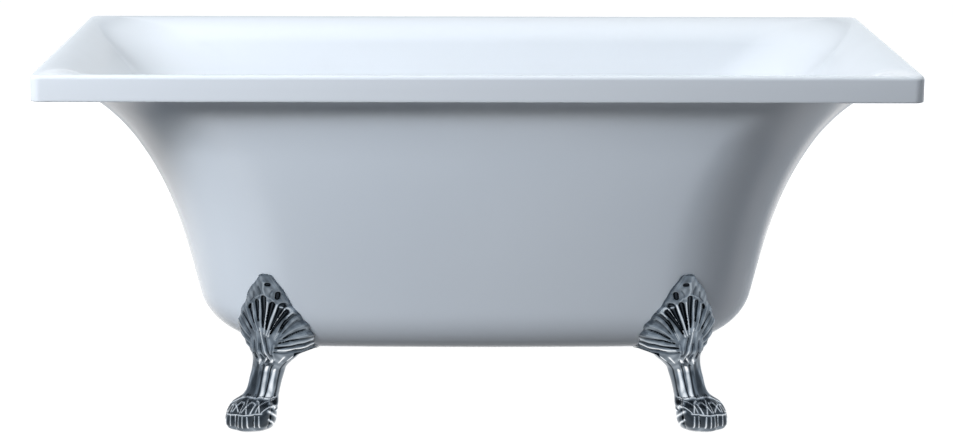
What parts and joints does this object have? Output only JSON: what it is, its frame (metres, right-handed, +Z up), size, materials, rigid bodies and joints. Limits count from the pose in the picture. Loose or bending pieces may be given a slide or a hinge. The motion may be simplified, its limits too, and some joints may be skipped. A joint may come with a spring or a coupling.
{
  "type": "freestanding bathtub",
  "caption": "Double-ended freestanding bath with a rectangular rim, a flared rounded body, claw legs on levelling feet, and a click-clack waste with an overflow.",
  "frame": {"origin": "on the floor, under the middle of the bath", "axes": "+X along the bath, -Y towards the front, +Z up"},
  "size_m": [1.5, 0.75, 0.63],
  "materials": {
    "acrylic": "high gloss",
    "skin": "high gloss",
    "leg_chrome": "polished",
    "trim_chrome": "polished",
    "timber": "raw",
    "zinc_steel": "zinc plated",
    "brass": "turned",
    "pad_rubber": "matt",
    "seal_rubber": "matt",
    "pipe_plastic": "moulded",
    "dark_plastic": "moulded"
  },
  "bodies": {
    "bath": {"bath_shell": "acrylic", "outer_skin": "skin", "rim_batten_front": "timber", "rim_batten_back": "timber", "rim_batten_left": "timber", "rim_batten_right": "timber", "base_board": "timber", "cross_bearer_left": "timber", "cross_bearer_right": "timber", "leg_front_left": "leg_chrome", "leg_front_right": "leg_chrome", "leg_back_left": "leg_chrome", "leg_back_right": "leg_chrome", "leg_bolts": "zinc_steel", "leg_washers": "zinc_steel", "board_inserts": "brass", "waste_flange": "trim_chrome", "waste_seal_top": "seal_rubber", "waste_seal_under": "seal_rubber", "waste_backnut": "pipe_plastic", "waste_tee": "pipe_plastic", "plug_cartridge": "dark_plastic", "plug_spring": "zinc_steel", "overflow_cover": "trim_chrome", "overflow_screw": "trim_chrome", "overflow_gasket": "seal_rubber", "overflow_elbow": "pipe_plastic", "overflow_pipe": "pipe_plastic", "pipe_bend": "pipe_plastic", "overflow_pipe_low": "pipe_plastic", "pipe_ring_top": "pipe_plastic", "pipe_ring_low": "pipe_plastic"},
    "plug": {"plug_cap": "trim_chrome", "plug_seal": "seal_rubber", "plug_stem": "trim_chrome"},
    "foot_front_left": {"level_stud_front_left": "zinc_steel", "glide_pad_front_left": "pad_rubber"},
    "foot_front_right": {"level_stud_front_right": "zinc_steel", "glide_pad_front_right": "pad_rubber"},
    "foot_back_left": {"level_stud_back_left": "zinc_steel", "glide_pad_back_left": "pad_rubber"},
    "foot_back_right": {"level_stud_back_right": "zinc_steel", "glide_pad_back_right": "pad_rubber"}
  },
  "joints": [
    {"name": "plug_lift", "type": "slide", "parent": "bath", "child": "plug", "axis": [0, 0, 1], "range_m": [0, 0.009], "deforming": ["plug_spring"]},
    {"name": "level_front_left", "type": "slide", "parent": "bath", "child": "foot_front_left", "axis": [0, 0, -1], "range_m": [0, 0.012]},
    {"name": "level_front_right", "type": "slide", "parent": "bath", "child": "foot_front_right", "axis": [0, 0, -1], "range_m": [0, 0.012]},
    {"name": "level_back_left", "type": "slide", "parent": "bath", "child": "foot_back_left", "axis": [0, 0, -1], "range_m": [0, 0.012]},
    {"name": "level_back_right", "type": "slide", "parent": "bath", "child": "foot_back_right", "axis": [0, 0, -1], "range_m": [0, 0.012]}
  ]
}
